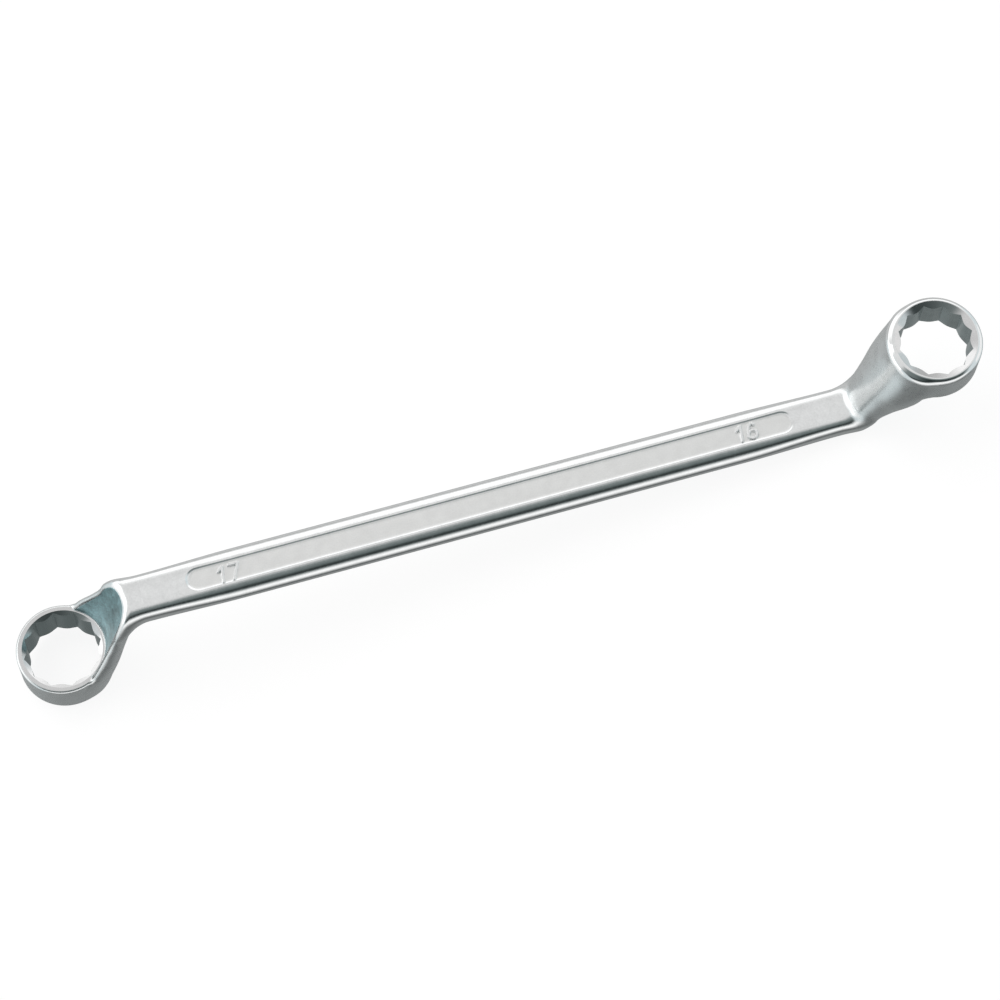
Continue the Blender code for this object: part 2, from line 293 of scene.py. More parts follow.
def sloping_rim(end, x, y, z):
    """Distance above the cone that trims the rim of the open face."""
    wall = np.hypot(x - end.axis_x, y) - end.radius
    slope_length = math.hypot(OPEN_RIM_WIDTH, OPEN_RIM_FALL)
    above = (wall + OPEN_RIM_WIDTH) * OPEN_RIM_FALL + (z - end.open_z) * OPEN_RIM_WIDTH
    return above / slope_length


def blank(end, x, y, z):
    """Distance to the head before its bore is cut."""
    fade = ease((x - end.axis_x + NECK_FADE_LENGTH) / NECK_FADE_LENGTH)
    neck = bar(end, x, y, z) + NECK_FADE_DEPTH * fade
    neck = crossed(neck, -hollow(end, x, y, z), HOLLOW_EDGE_ROUND)
    outside = ease((np.hypot(x - end.axis_x, y) - end.radius + HOLLOW_STEP) / HOLLOW_STEP)
    blend = HOLLOW_FOOT_BLEND + (RING_BLEND - HOLLOW_FOOT_BLEND) * outside
    whole = soft_least(neck, eye(end, x, y, z), blend)
    trimmed = crossed(whole, sloping_rim(end, x, y, z), RIM_FOOT_ROUND)
    return crossed(trimmed, z - end.open_z, RIM_SOFTNESS)


print("slanted cutter at the 17 mm end:", 2 * (END_17.radius - HOLLOW_STEP), "m across")

# %% [markdown]
# The bore.  Two hexagons, one turned by 30 degrees, make a star of twelve sharp points, and
# between each pair of points the steel comes forward as a soft lobe.  All twelve sectors are
# alike, so a point is folded into one sector first and compared with two flats and one arc.
# A wide cone leads a nut in on both sides, broad at the open face and narrow at the shank side.

# %% The twelve-point bore and its mouths
def bore(end, x, y, z):
    """Distance outside the bore's opening: below zero in the air inside it."""
    half_turn = math.pi / POINTS
    radius = np.hypot(x - end.axis_x, y)
    angle = np.arctan2(y, x - end.axis_x)
    folded = np.mod(angle, 2 * half_turn) - half_turn
    nearest_flat = radius * np.cos(np.abs(folded) + half_turn) - end.jaw / 2
    lobe_centre = (end.jaw / 2 + LOBE_RADIUS) / math.cos(half_turn)
    towards_axis = lobe_centre - radius * np.cos(folded)
    aside = np.abs(radius * np.sin(folded))
    lobe = LOBE_RADIUS - np.hypot(towards_axis, aside)
    on_lobe = aside < towards_axis * math.tan(half_turn)
    return np.where(on_lobe, lobe, nearest_flat)


def dish(end, x, y, z):
    """The wide cone that leads in from the open face."""
    outside = np.hypot(x - end.axis_x, y) - end.mouth_radius
    return (outside * COUNTERSINK_SLOPE - (z - end.open_z)) / math.hypot(1, COUNTERSINK_SLOPE)


def sink(end, x, y, z):
    """The same cone round the bore on the shank side, which only reaches as wide as its mouth."""
    outside = np.hypot(x - end.axis_x, y) - end.point_radius - SHANK_SIDE_LEAD_IN
    cone = (outside * COUNTERSINK_SLOPE + z - end.shank_side_z) / math.hypot(1, COUNTERSINK_SLOPE)
    return np.maximum(outside, cone)


def head(end, x, y, z):
    """Distance to the finished head, which stops where the straight shank starts."""
    air = np.minimum(np.minimum(bore(end, x, y, z), dish(end, x, y, z)), sink(end, x, y, z))
    return np.maximum(np.maximum(blank(end, x, y, z), -air), end.fan_x - x)


for end in (END_16, END_17):
    print(end.size, "mm bore, from its axis to a lobe:", -float(bore(end, end.axis_x, 0, 0)))

# %% [markdown]
# The figures.  The two sizes stand up from the panel's floor, forged in the same die.  Text
# objects would give printed letters with a flat top; die-cut figures are strokes of a round
# cutter, so each figure is a line or an arc, and its distance gives sloping sides for free.
# The lower panel carries the same figures, turned over with the tool.

# %% Strokes of the figures 1, 6 and 7
STEM_OF_6 = range(180, 59, -15)


def line(x, y, start, end):
    """Distance to one straight stroke."""
    along = (end[0] - start[0], end[1] - start[1])
    length = math.hypot(*along)
    share = ((x - start[0]) * along[0] + (y - start[1]) * along[1]) / length ** 2
    share = np.clip(share, 0, 1)
    return np.hypot(x - start[0] - share * along[0], y - start[1] - share * along[1])


def strokes(x, y, points):
    """Distance to strokes that follow one another."""
    return np.minimum.reduce([line(x, y, *pair) for pair in zip(points, points[1:])])


def figure_1(x, y):
    top = FIGURE_HALF_HEIGHT
    flag = (-FIGURE_HALF_WIDTH * FLAG_SHARE, top - FIGURE_HALF_WIDTH * FLAG_SHARE)
    return strokes(x, y, [(0, -top), (0, top), flag])


def figure_7(x, y):
    wide = FIGURE_HALF_WIDTH
    top = FIGURE_HALF_HEIGHT
    return strokes(x, y, [(-wide, top), (wide, top), (-wide * FOOT_OF_7, -top)])


def figure_6(x, y):
    wide = FIGURE_HALF_WIDTH
    bowl_y = wide - FIGURE_HALF_HEIGHT
    bowl = np.abs(np.hypot(x, y - bowl_y) - wide)
    stem = []
    for degrees in STEM_OF_6:
        turn = math.radians(degrees)
        height = (FIGURE_HALF_HEIGHT - bowl_y) * math.sin(turn)
        stem.append((wide * math.cos(turn), bowl_y + height))
    return np.minimum(bowl, strokes(x, y, stem))


def figures(x, y, z):
    """Distance to the raised figures of both numbers."""
    y = np.where(z > 0, y, -y)
    nearest = np.full_like(x, PANEL_WIDTH)
    numbers = ((FIGURE_PLACE_17, (figure_1, figure_7)), (FIGURE_PLACE_16, (figure_1, figure_6)))
    for (middle_x, middle_y), shapes in numbers:
        for shape, side in zip(shapes, (-1, 1)):
            upright_y = y - middle_y
            upright_x = x - middle_x - side * FIGURE_PITCH / 2 - FIGURE_LEAN * upright_y
            nearest = np.minimum(nearest, shape(upright_x, upright_y))
    above_floor = np.abs(z) - PANEL_FLOOR_HEIGHT
    side_wall = nearest - FIGURE_STROKE + FIGURE_DRAFT * above_floor
    return crossed(side_wall, above_floor - FIGURE_RISE, FIGURE_SOFTNESS)


print("figures rise", FIGURE_RISE, "m from the panel's floor")

# %% [markdown]
# The shank.  Between the two bends the bar only narrows a little at its waist.  Each broad face
# has a long recessed panel with round ends, pressed in by the die: a level floor, shallow walls
# that lean outward so that the forging leaves the die, and soft edges.  The walls catch the light
# as two thin lines along the tool.  A Boolean could cut the panel too, but not round its edges.

# %% The shank with its panels
def panel(x, y, z):
    """Distance outside the air in the recess of either broad face."""
    straight = (PANEL_LENGTH - PANEL_WIDTH) / 2
    outline = np.hypot(np.maximum(np.abs(x) - straight, 0), y) - PANEL_WIDTH / 2
    above_floor = np.abs(z) - PANEL_FLOOR_HEIGHT
    slope = PANEL_WALL_FLARE / (SHANK_HALF_THICKNESS - PANEL_FLOOR_HEIGHT)
    wall = (outline + PANEL_WALL_FLARE - above_floor * slope) / math.hypot(1, slope)
    return crossed(wall, -above_floor, PANEL_FOOT_ROUND)


def shank(x, y, z):
    """Distance to the straight part, with its panels and figures."""
    before_bend = np.where(x > 0, END_16.fan_x - x, END_17.fan_x + x)
    half_depth = SHANK_HALF_THICKNESS
    square = squareness(before_bend)
    skin = oval(y, half_depth - z, waist(before_bend), half_depth, half_depth, square)
    skin = crossed(skin, -panel(x, y, z), PANEL_EDGE_ROUND)
    skin = joined(skin, figures(x, y, z), FIGURE_SOFTNESS)
    return np.maximum(skin, -before_bend)


print("panel is", SHANK_HALF_THICKNESS - PANEL_FLOOR_HEIGHT, "m deep")

# %% [markdown]
# From distance to mesh.  Space is divided by three sets of ruled planes.  Every edge of that
# lattice that passes through the skin is cut exactly where it does, and each lattice cell that
# holds such cuts gets one vertex, put where the tangent planes of its cuts meet best.  A voxel
# remesh does something like this but melts every edge; here the tangent planes pull a vertex
# onto an edge, so the bore's points stay sharp and the fillets stay round.

# %% Cutting the lattice
SLOPE_STEP = 2e-6
CUT_ROUNDS = 5
CUT_INSET = 0.02


def normals_at(distance, points):
    """Which way is out, from how the distance changes along X, Y and Z."""
    slopes = []
    for axis in range(3):
        step = np.zeros(3)
        step[axis] = SLOPE_STEP
        slopes.append(distance(*(points + step).T) - distance(*(points - step).T))
    slopes = np.stack(slopes, axis=1)
    return slopes / np.maximum(np.linalg.norm(slopes, axis=1, keepdims=True), TINY * TINY)


def ruled(start, stop, coarse, fine=None, spans=()):
    """Ruled planes: close together inside the spans, and wider apart elsewhere."""
    places = [start]
    while places[-1] < stop:
        inside = any(low <= places[-1] <= high for low, high in spans)
        places.append(places[-1] + (fine if inside else coarse))
    return np.array(places)


def cuts_along(axis, lattice, values, distance):
    """Where the lattice's edges in one direction pass through the skin, and which way is out."""
    last = values.shape[axis] - 1
    low_values = np.take(values, range(last), axis=axis)
    high_values = np.take(values, range(1, last + 1), axis=axis)
    nodes = np.argwhere((low_values < 0) != (high_values < 0))
    picked = tuple(nodes.T)
    low = np.stack([lattice[way][nodes[:, way]] for way in range(3)], axis=1)
    high = low.copy()
    high[:, axis] = lattice[axis][nodes[:, axis] + 1]
    low_value = low_values[picked]
    high_value = high_values[picked]
    steel_below = low_value < 0
    for _ in range(CUT_ROUNDS):
        share = low_value / (low_value - high_value)
        share = np.clip(share, CUT_INSET, 1 - CUT_INSET)[:, None]
        middle = low + (high - low) * share
        value = distance(*middle.T)
        keep_low = (value < 0) == steel_below
        low = np.where(keep_low[:, None], middle, low)
        low_value = np.where(keep_low, value, low_value)
        high = np.where(keep_low[:, None], high, middle)
        high_value = np.where(keep_low, high_value, value)
    share = (low_value / (low_value - high_value))[:, None]
    return nodes, low + (high - low) * share, steel_below


print("planes that stand closer between 1 and 2:", ruled(0, 3, 1, 0.5, [(1, 2)]))

# %% [markdown]
# Each cell that the skin passes through knows some cuts on its edges and the tangent plane at
# each of them.  The vertex is the point that fits all those planes best, found by least squares
# with a light pull to the middle of the cuts, and it is kept inside its own cell so that the mesh
# can't fold over itself.

# %% Placing one vertex in each cell
CELL_INSET = 0.02
PLANE_PULL = 0.01


def corner_points(owner, count, places, normals):
    """The point of each cell that lies nearest to the tangent planes of its cuts."""
    def gathered(values):
        return np.bincount(owner, weights=values, minlength=count)

    cuts = np.maximum(gathered(np.ones(len(owner))), 1)
    middle = np.stack([gathered(places[:, way]) / cuts for way in range(3)], axis=1)
    offset = np.einsum("ij,ij->i", normals, places - middle[owner])
    pulls = np.empty((count, 3, 3))
    wanted = np.empty((count, 3, 1))
    for row in range(3):
        wanted[:, row, 0] = gathered(normals[:, row] * offset)
        for column in range(3):
            pulls[:, row, column] = gathered(normals[:, row] * normals[:, column])
    pulls += np.eye(3) * (PLANE_PULL * cuts)[:, None, None]
    return middle + np.linalg.solve(pulls, wanted)[:, :, 0]


def skin_of(distance, lattice):
    """Vertices and triangles of the skin of one shape."""
    values = distance(*np.meshgrid(*lattice, indexing="ij"))
    cells = tuple(len(planes) - 1 for planes in lattice)
    owners, places, normals, quads = [], [], [], []
    for axis in range(3):
        nodes, crossing, steel_below = cuts_along(axis, lattice, values, distance)
        normal = normals_at(distance, crossing)
        round_edge = []
        for left, back in ((1, 1), (0, 1), (0, 0), (1, 0)):
            cell = nodes.copy()
            cell[:, (axis + 1) % 3] -= left
            cell[:, (axis + 2) % 3] -= back
            round_edge.append(np.ravel_multi_index(tuple(cell.T), cells))
            places.append(crossing)
            normals.append(normal)
        quad = np.stack(round_edge, axis=1)
        owners += round_edge
        quads.append(np.where(steel_below[:, None], quad, quad[:, ::-1]))
    used, owner = np.unique(np.concatenate(owners), return_inverse=True)
    points = corner_points(owner, len(used), np.concatenate(places), np.concatenate(normals))
    corner = np.stack(np.unravel_index(used, cells), axis=1)
    for way in range(3):
        low = lattice[way][corner[:, way]]
        high = lattice[way][corner[:, way] + 1]
        inset = (high - low) * CELL_INSET
        points[:, way] = np.clip(points[:, way], low + inset, high - inset)
    quads = np.searchsorted(used, np.concatenate(quads))
    return points, split(distance, points, quads)


def split(distance, points, quads):
    """Each quad as two triangles, along the diagonal that stays nearer to the skin."""
    first = np.abs(distance(*((points[quads[:, 0]] + points[quads[:, 2]]) / 2).T))
    second = np.abs(distance(*((points[quads[:, 1]] + points[quads[:, 3]]) / 2).T))
    turned = np.where((first <= second)[:, None], quads, np.roll(quads, -1, axis=1))
    return np.concatenate([turned[:, [0, 1, 2]], turned[:, [0, 2, 3]]])


def ball(x, y, z):
    return np.sqrt(x * x + y * y + z * z) - 1


ball_points, ball_faces = skin_of(ball, [ruled(-1.25, 1.25, 0.1)] * 3)
print("test ball:", len(ball_faces), "triangles, off by", np.abs(ball(*ball_points.T)).max())

# %% [markdown]
# A mesh of flat triangles would shimmer in chrome, so every corner of every triangle is told
# the true direction of the surface there.  It is read a little inside the triangle, not at the
# corner itself, so two triangles that meet at a sharp edge keep their own directions.

# %% From skin to object
CORNER_SHARE = 0.3
LEAST_AREA = 1e-14


def mesh_of(name, places, faces):
    """A mesh of triangles."""
    mesh = bpy.data.meshes.new(name)
    mesh.vertices.add(len(places))
    mesh.vertices.foreach_set("co", places.ravel())
    mesh.loops.add(faces.size)
    mesh.loops.foreach_set("vertex_index", faces.ravel().astype(np.int32))
    mesh.polygons.add(len(faces))
    mesh.polygons.foreach_set("loop_start", np.arange(0, faces.size, 3, dtype=np.int32))
    return mesh


def made(name, distance, lattice, place, finishes, finish_of, bend_of):
    """An object of the skin, laid in its place, with a finish chosen for each triangle."""
    points, faces = skin_of(distance, lattice)
    corners = points[faces]
    sides = np.cross(corners[:, 1] - corners[:, 0], corners[:, 2] - corners[:, 0])
    faces = faces[np.linalg.norm(sides, axis=1) > LEAST_AREA]
    corners = points[faces]
    middles = corners.mean(axis=1, keepdims=True)
    inside = corners + (middles - corners) * CORNER_SHARE
    normals = normals_at(distance, inside.reshape(-1, 3))
    turned = np.array(place.to_3x3())
    mesh = mesh_of(name, points @ turned.T + np.array(place.translation), faces)
    for finish in finishes:
        mesh.materials.append(finish)
    mesh.polygons.foreach_set("material_index", finish_of(*middles[:, 0].T).astype(np.int32))
    drawn = mesh.attributes.new("drawn", 'FLOAT_VECTOR', 'POINT')
    drawn.data.foreach_set("vector", points.ravel())
    bend = mesh.attributes.new("bend", 'FLOAT', 'POINT')
    bend.data.foreach_set("value", bend_of(points[:, 0], points[:, 2]))
    mesh.update(calc_edges=True)
    mesh.shade_smooth()
    mesh.normals_split_custom_set((normals @ turned.T).tolist())
    piece = bpy.data.objects.new(name, mesh)
    bpy.context.scene.collection.objects.link(piece)
    print(name, len(points), "vertices", len(faces), "triangles")
    return piece


print("directions are read", CORNER_SHARE, "of the way from a corner to the middle")

# %% [markdown]
# Shader sums.  A finish is worked out with sums on values that change over the surface.  This
# small class wraps a node's output, so that such sums can be written as plain Python, and one
# method adds any other node.

# %% A wrapper for node outputs
class Wire:
    def __init__(self, tree, output=None):
        self.tree = tree
        self.output = output

    def node(self, kind, settings=None, inputs=None, output=0):
        """Add a node: its settings first, then the value or the wire of each input."""
        made_node = self.tree.nodes.new(kind)
        for name, value in (settings or {}).items():
            if name == "stops":
                ramp = made_node.color_ramp.elements
                while len(ramp) < len(value):
                    ramp.new(0.5)
                for element, (position, colour) in zip(ramp, value):
                    element.position = position
                    element.color = (*colour, 1)
            else:
                setattr(made_node, name, value)
        for name, value in (inputs or {}).items():
            if isinstance(value, Wire):
                self.tree.links.new(value.output, made_node.inputs[name])
            else:
                made_node.inputs[name].default_value = value
        return Wire(self.tree, made_node.outputs[output])

    def math(self, operation, *values):
        return self.node("ShaderNodeMath", {"operation": operation}, dict(enumerate(values)))

    def clear_to_full(self, value, clear, full):
        """Nothing up to one place, all from another, and softly between them."""
        limits = {"Value": value, "From Min": clear, "From Max": full}
        return self.node("ShaderNodeMapRange", {"interpolation_type": 'SMOOTHSTEP'}, limits)

    def __add__(self, other):
        return self.math('ADD', self, other)

    def __sub__(self, other):
        return self.math('SUBTRACT', self, other)

    def __rsub__(self, other):
        return self.math('SUBTRACT', other, self)

    def __mul__(self, other):
        return self.math('MULTIPLY', self, other)

    __radd__ = __add__
    __rmul__ = __mul__


print("node outputs can be added, subtracted and multiplied")

# %% [markdown]
# The finishes.  Satin chrome is a mirror with a very fine grain.  What is seen on it is the
# room, a little blurred: least on the turned rims, more on the shank and the necks, and most on
# the panel's floor, which is left as the die made it.  The cutter leaves the hollow matt and
# mottled, and the broach leaves fine lines along the bore.  The hollow's blue-green is painted
# reflection, and the bores' darkness is painted shade.  One recipe makes them all: wide clouds
# and a fine grain, both noise in the drawing frame, move the colour and the roughness up and
# down, and the grain also gives a faint bump.

# %% A finish built from a few numbers
CLOUD_SCALE = 400.0
CLOUD_DETAIL = 3.0
GRAIN_SCALE = 2600.0
GRAIN_DETAIL = 4.0
GRAIN_HEIGHT = 0.00002
NECK_FINISH_STARTS = 0.1
NECK_FINISH_ENDS = 0.9


def finish(name, colours, roughnesses, unevenness, grain, mottle, stretch=(1, 1, 1)):
    """Metal that goes from its first colour and roughness to its second round the bend."""
    material = bpy.data.materials.new(name)
    material.use_nodes = True
    tree = material.node_tree
    shader = tree.nodes["Principled BSDF"]
    shader.inputs["Metallic"].default_value = 1
    start = Wire(tree)
    place = start.node("ShaderNodeAttribute", {"attribute_name": "drawn"}, output="Vector")
    bend = start.node("ShaderNodeAttribute", {"attribute_name": "bend"}, output="Fac")
    bent = start.clear_to_full(bend, NECK_FINISH_STARTS, NECK_FINISH_ENDS)
    drawn = start.node("ShaderNodeVectorMath", {"operation": 'MULTIPLY'}, {0: place, 1: stretch})
    wide = {"Vector": place, "Scale": CLOUD_SCALE, "Detail": CLOUD_DETAIL}
    clouds = start.node("ShaderNodeTexNoise", {}, wide)
    narrow = {"Vector": drawn, "Scale": GRAIN_SCALE, "Detail": GRAIN_DETAIL}
    fine = start.node("ShaderNodeTexNoise", {}, narrow)
    level = roughnesses[0] + bent * (roughnesses[1] - roughnesses[0])
    gloss = level + (clouds - 0.5) * unevenness + (fine - 0.5) * unevenness
    tree.links.new(gloss.output, shader.inputs["Roughness"])
    blend = {"data_type": 'RGBA'}
    inputs = {"Factor": bent, 6: (*colours[0], 1), 7: (*colours[1], 1)}
    # The plate colour holds painted shade wherever a finish's colour is darkened for its light, as
    # round the bend.
    plate_and_painted_shade = start.node("ShaderNodeMix", blend, inputs, output=2)
    shade = 1 + (clouds + fine - 1) * mottle
    tone = start.node("ShaderNodeVectorMath", {"operation": 'SCALE'}, {0: plate_and_painted_shade, "Scale": shade})
    tree.links.new(tone.output, shader.inputs["Base Color"])
    relief = {"Height": fine, "Strength": grain, "Distance": GRAIN_HEIGHT}
    bump = start.node("ShaderNodeBump", {}, relief)
    tree.links.new(bump.output, shader.inputs["Normal"])
    print("finish", name)
    return material


print("clouds", 1000 / CLOUD_SCALE, "mm wide, grain", round(1000 / GRAIN_SCALE, 2), "mm")

# %% [markdown]
# The shank's, the rims' and the panel floor's colours are those of the bare metal.  Shank and neck
# share one finish that grows rougher and a little darker round the bend; the darkening is painted
# shade.  The darker mouths and the dark bores are painted shade, and the hollow's blue-green is
# painted reflection.  Every other finish has the same colour and roughness all over, and differs
# in how uneven it is.

# %% The finishes of this spanner
PLATE = (0.84, 0.85, 0.85)
# Painted shade: the necks get a darker copy of the plate, for the dimmer look of the heads.
NECK_PLATE_PAINTED_SHADE = (0.80, 0.82, 0.82)
MATT_FLOOR = (0.86, 0.86, 0.85)
# Painted reflection: the hollow's dark blue-green stands for a dark bluish room mirrored in it.
MILLED_PAINTED_REFLECTION = (0.38, 0.57, 0.60)
# Painted shade: the bores' dark colours stand for the dim light inside the rings, lighter in the 16
# mm ring, which stands higher above the bench.
BORE_17_PAINTED_SHADE = (0.26, 0.32, 0.32)
BORE_16_PAINTED_SHADE = (0.50, 0.56, 0.56)
# Painted shade: the lead-in cones and the shank-side flats get a darker copy of the plate.
MOUTH_PAINTED_SHADE = (0.70, 0.70, 0.70)
ALONG_THE_BORE = (1, 1, 0.05)


def even_finish(name, colour, roughness, unevenness, grain, mottle, stretch=(1, 1, 1)):
    """A finish that is alike on shank and neck."""
    colours = (colour, colour)
    return finish(name, colours, (roughness, roughness), unevenness, grain, mottle, stretch)


# The forging's second, darker colour round the bend is painted shade.
forged = finish("satin_forging_painted_neck_shade", (PLATE, NECK_PLATE_PAINTED_SHADE), (0.16, 0.28), 0.08, 0.20, 0.22)
panel_floor = even_finish("die_matt_floor", MATT_FLOOR, 0.50, 0.10, 0.35, 0.15)
# The hollow's colour is painted reflection; its mottle is random tone.
hollow_finish_painted_reflection = even_finish("milled_hollow_painted_reflection", MILLED_PAINTED_REFLECTION, 0.36, 0.12, 0.35, 1.25)
turned_rim = even_finish("turned_face", PLATE, 0.09, 0.04, 0.08, 0.10)
# The mouth's darker colour is painted shade.
mouth_finish_painted_shade = even_finish("mouth_finish_painted_shade", MOUTH_PAINTED_SHADE, 0.12, 0.06, 0.10, 0.16)
# Both bores are one broached finish; their two dark colours are painted shade.
bore_17_finish_painted_shade = even_finish("bore_17_broached_painted_shade", BORE_17_PAINTED_SHADE, 0.28, 0.10, 0.20, 0.40, ALONG_THE_BORE)
bore_16_finish_painted_shade = even_finish("bore_16_broached_painted_shade", BORE_16_PAINTED_SHADE, 0.28, 0.10, 0.20, 0.40, ALONG_THE_BORE)

# %% [markdown]
# Where each finish belongs follows from the cutter that made the surface: a triangle whose
# middle lies on the bore's wall was broached, one on the slanted cylinder was milled, one on an
# open rim, on a lead-in cone or on the flat of the shank side was turned, and the rest is forged
# skin.  The numbers are places in the head's list of finishes.  The colours given to the bore,
# the hollow, the lead-ins and the flats are painted shade and painted reflection, not the cutters'
# own.

# %% Which cutter made a triangle
ON_SURFACE = 0.00004
FORGED, TURNED_RIM, TURNED_MOUTH_PAINTED_SHADE, HOLLOW_PAINTED_REFLECTION, BORE_PAINTED_SHADE = range(5)


def head_finish(end):
    """What chooses the finishes of one head."""
    def choose(x, y, z):
        chosen = np.full(len(x), FORGED)
        radius = np.hypot(x - end.axis_x, y)
        near_axis = radius < end.radius + OPEN_RIM_WIDTH
        on_rim = (sloping_rim(end, x, y, z) > -RIM_SOFTNESS) & near_axis
        in_dish = (np.abs(dish(end, x, y, z)) < ON_SURFACE) & (radius < end.mouth_radius)
        in_mouth = in_dish | (np.abs(sink(end, x, y, z)) < ON_SURFACE)
        on_flat = (np.abs(z - end.shank_side_z) < ON_SURFACE) & near_axis
        beyond_flat = z < end.shank_side_z - ON_SURFACE
        chosen[on_rim] = TURNED_RIM
        # Lead-ins and flats get the mouth finish, whose darker colour is painted shade.
        chosen[(in_mouth & near_axis) | on_flat] = TURNED_MOUTH_PAINTED_SHADE
        # The hollow gets the finish whose blue-green is painted reflection.
        chosen[(np.abs(hollow(end, x, y, z)) < ON_SURFACE) & beyond_flat] = HOLLOW_PAINTED_REFLECTION
        # The bore gets the finish whose dark colour is painted shade.
        chosen[np.abs(bore(end, x, y, z)) < ON_SURFACE] = BORE_PAINTED_SHADE
        return chosen

    return choose


def shank_finish(x, y, z):
    """1 on a panel's floor and 0 on the forged skin."""
    level = np.abs(z) < PANEL_FLOOR_HEIGHT + 2 * ON_SURFACE
    return np.where((panel(x, y, z) < ON_SURFACE) & level, 1, 0)


print("a triangle is a cutter's if it lies within", ON_SURFACE, "m of the cutter's surface")

# %% [markdown]
# The spanner lies on a bench: it stands on the rim of the 17 mm ring and on the elbow of the
# other head, so the drawing frame leans.  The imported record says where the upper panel's floor
# is and which way it faces, and that is enough to place everything.

# %% Place of the drawing frame in the world
panel_mount = next(mount for mount in frame["record"]["mounts"] if mount["name"] == "panel_upper")
facing = Vector(panel_mount["axis"])
lean = math.atan2(facing.x, facing.z)
turn_about_y = Matrix.Rotation(lean, 4, 'Y')
origin = Vector(panel_mount["pos_m"]) - turn_about_y @ Vector((0, 0, PANEL_FLOOR_HEIGHT))
on_bench = Matrix.Translation(origin) @ turn_about_y
half_turn_over = Matrix.Rotation(math.pi, 4, 'Y')
print("leans", round(math.degrees(lean), 3), "degrees")

# %% [markdown]
# Now the three skins are made.  A cell of a quarter of a millimetre is fine enough for the bores
# and the fillets.  Along the shank, where nothing changes for a long way, the cells are longer,
# and only the panel's round ends and the figures get fine ones.

# %% The lattices
HEAD_CELL = 0.00024
SHANK_CELL = 0.00020
SHANK_DEEP_CELL = SHANK_CELL * 0.8
SHANK_LONG_CELL = 0.00120
MARGIN = 0.0011
PANEL_END_OUTSIDE = 0.0008
PANEL_END_INSIDE = 0.0042
FIGURE_REACH = 0.0031


def head_lattice(end):
    """Ruled planes round one head."""
    reach = end.axis_x + end.radius + MARGIN
    side = end.radius + MARGIN
    return (
        ruled(end.fan_x - MARGIN, reach, HEAD_CELL),
        ruled(-side, side, HEAD_CELL),
        ruled(SHANK_HALF_THICKNESS - ELBOW_DEPTH - MARGIN, end.open_z + MARGIN, HEAD_CELL),
    )


panel_end = PANEL_LENGTH / 2
fine_spans = [
    (-panel_end - PANEL_END_OUTSIDE, -panel_end + PANEL_END_INSIDE),
    (panel_end - PANEL_END_INSIDE, panel_end + PANEL_END_OUTSIDE),
]
for middle_x, _ in (FIGURE_PLACE_17, FIGURE_PLACE_16):
    fine_spans.append((middle_x - FIGURE_REACH, middle_x + FIGURE_REACH))
first_x = -END_17.fan_x - MARGIN
last_x = END_16.fan_x + MARGIN
shank_lattice = (
    ruled(first_x, last_x, SHANK_LONG_CELL, SHANK_CELL, fine_spans),
    ruled(-SHANK_HALF_WIDTH - MARGIN, SHANK_HALF_WIDTH + MARGIN, SHANK_CELL),
    ruled(-SHANK_HALF_THICKNESS - MARGIN, SHANK_HALF_THICKNESS + MARGIN, SHANK_DEEP_CELL),
)
print("planes across the shank's lattice:", [len(planes) for planes in shank_lattice])

# %% [markdown]
# Each skin stands for solids of the imported model: it rides on the one body and replaces the
# solids that it covers.

# %% Make the three skins
def no_bend(x, z):
    """The shank is straight all along."""
    return np.zeros(len(x))


shank_finishes = (forged, panel_floor)
shank_skin = made(
    "shank_skin", shank, shank_lattice, on_bench, shank_finishes, shank_finish, no_bend
)
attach(shank_skin, "root")
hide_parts("shank")

# Each head gets its own bore finish, whose dark colour is painted shade.
ends = ((END_16, on_bench, bore_16_finish_painted_shade), (END_17, on_bench @ half_turn_over, bore_17_finish_painted_shade))
for end, place, bore_finish_painted_shade in ends:
    def distance(x, y, z, end=end):
        return head(end, x, y, z)

    def bend_share(x, z, end=end):
        return turn_at(end, x, z) / NECK_ANGLE

    name = "head_skin_" + end.size
    # The mouth, hollow and bore finishes here carry painted shade and painted reflection.
    finishes = (forged, turned_rim, mouth_finish_painted_shade, hollow_finish_painted_reflection, bore_finish_painted_shade)
    skin = made(name, distance, head_lattice(end), place, finishes, head_finish(end), bend_share)
    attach(skin, "root")
    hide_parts("neck_" + end.size, "ring_" + end.size)

# %% [markdown]
# The camera stands where the photographer stood: above and in front of the tool, turned a
# little, far enough away that the two ends show almost alike.  Its place is given in the drawing
# frame, as it was fitted there, and laid on the bench with the tool.

# %% Camera
CAMERA_PLACE = Vector((-0.09554, -0.28427, 0.81787))
CAMERA_AIM = Vector((0.00215, 0.00064, 0.0))
CAMERA_ROLL = math.radians(-17.24)
LENS_MM = 126.915
SENSOR_MM = 36.0
NEAREST_SEEN = 0.01

forward = (CAMERA_AIM - CAMERA_PLACE).normalized()
right = forward.cross(Vector((0, 1, 0))).normalized()
upward = right.cross(forward)
facing_back = Matrix((right, upward, -forward)).transposed().to_4x4()
camera_data = bpy.data.cameras.new("photo_camera")
camera_data.lens = LENS_MM
camera_data.sensor_width = SENSOR_MM
camera_data.sensor_fit = 'HORIZONTAL'
camera_data.clip_start = NEAREST_SEEN
camera = bpy.data.objects.new("photo_camera", camera_data)
bpy.context.scene.collection.objects.link(camera)
rolled = facing_back @ Matrix.Rotation(CAMERA_ROLL, 4, 'Z')
camera.matrix_world = on_bench @ Matrix.Translation(CAMERA_PLACE) @ rolled
bpy.context.scene.camera = camera
print("camera stands at", [round(value, 3) for value in camera.matrix_world.translation])

# %% [markdown]
# Chrome has no look of its own: it shows the room, so the rest of this file makes a room.  First
# comes the bench, a plain pale sheet.  To the camera it is mostly its own white, as the
# photograph's background is, and the share left to the light keeps the tool's soft shadow.

